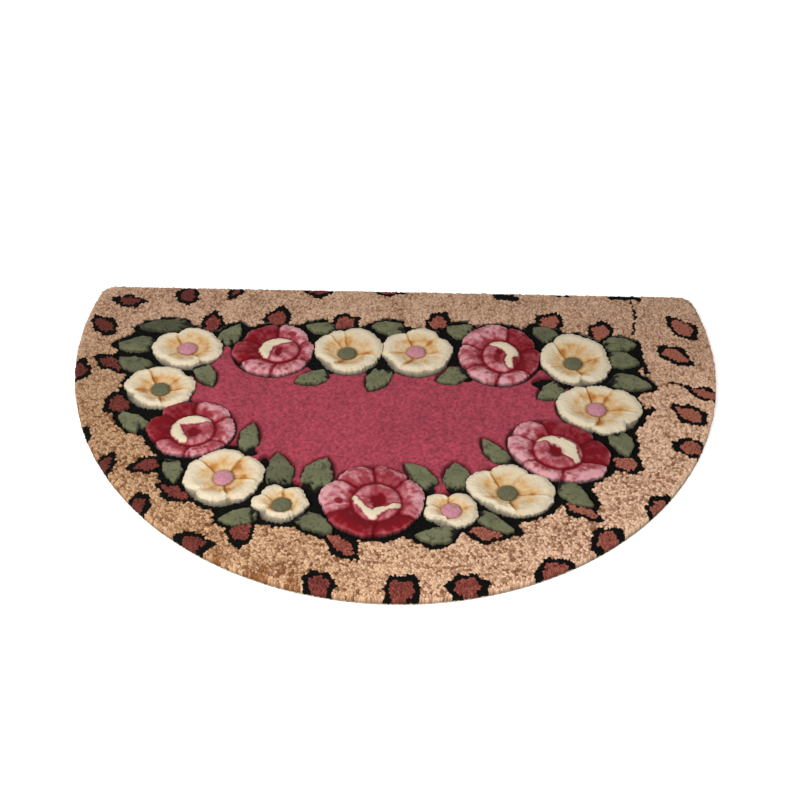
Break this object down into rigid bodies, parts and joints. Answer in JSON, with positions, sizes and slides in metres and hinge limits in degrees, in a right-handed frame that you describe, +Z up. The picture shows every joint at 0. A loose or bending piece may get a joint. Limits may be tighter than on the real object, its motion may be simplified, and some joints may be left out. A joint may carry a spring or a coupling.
{
  "type": "doormat",
  "caption": "Half-round tufted doormat with a leopard-spotted ground, a plain middle field and a wreath of carved flowers, roses and leaves.",
  "frame": {"origin": "centre of the mat's bounding box on the floor, at the underside of the backing cloth", "axes": "+X along the straight back edge, +Y towards the straight back edge, +Z up out of the pile"},
  "size_m": [0.8998, 0.6, 0.0172],
  "materials": {
    "backing": "plain woven cotton backing cloth, pale cream",
    "tan_pile": "coarse twisted cut pile in mixed tans, with leopard spots of terracotta and black",
    "black_pile": "black cut pile, sheared low",
    "raspberry_pile": "fine dense cut pile, raspberry pink",
    "cream_pile": "soft cut pile, cream shading to golden orange",
    "rose_pile": "soft cut pile, crimson shading to pale pink",
    "leaf_pile": "dense cut pile, sage green",
    "pink_eye": "dense cut pile, mauve pink",
    "green_eye": "dense cut pile, dark sage"
  },
  "bodies": {
    "root": {"backing_cloth": "backing", "ground_pile": "tan_pile", "wreath_pile": "black_pile", "field_pile": "raspberry_pile", "cream_flower_1": "cream_pile", "cream_flower_2": "cream_pile", "cream_flower_3": "cream_pile", "cream_flower_4": "cream_pile", "cream_flower_5": "cream_pile", "cream_flower_6": "cream_pile", "cream_flower_7": "cream_pile", "cream_flower_8": "cream_pile", "cream_flower_9": "cream_pile", "cream_flower_10": "cream_pile", "flower_eye_1": "pink_eye", "flower_eye_2": "green_eye", "flower_eye_3": "green_eye", "flower_eye_4": "pink_eye", "flower_eye_5": "green_eye", "flower_eye_6": "pink_eye", "flower_eye_7": "pink_eye", "flower_eye_8": "green_eye", "flower_eye_9": "green_eye", "flower_eye_10": "pink_eye", "rose_1": "rose_pile", "rose_2": "rose_pile", "rose_3": "rose_pile", "rose_4": "rose_pile", "rose_5": "rose_pile", "leaf_1": "leaf_pile", "leaf_2": "leaf_pile", "leaf_3": "leaf_pile", "leaf_4": "leaf_pile", "leaf_5": "leaf_pile", "leaf_6": "leaf_pile", "leaf_7": "leaf_pile", "leaf_8": "leaf_pile", "leaf_9": "leaf_pile", "leaf_10": "leaf_pile", "leaf_11": "leaf_pile", "leaf_12": "leaf_pile", "leaf_13": "leaf_pile", "leaf_14": "leaf_pile", "leaf_15": "leaf_pile", "leaf_16": "leaf_pile", "leaf_17": "leaf_pile", "leaf_18": "leaf_pile", "leaf_19": "leaf_pile", "leaf_20": "leaf_pile", "leaf_21": "leaf_pile", "leaf_22": "leaf_pile", "leaf_23": "leaf_pile", "leaf_24": "leaf_pile", "leaf_25": "leaf_pile", "leaf_26": "leaf_pile", "leaf_27": "leaf_pile", "leaf_28": "leaf_pile", "leaf_29": "leaf_pile", "leaf_30": "leaf_pile"}
  },
  "joints": []
}
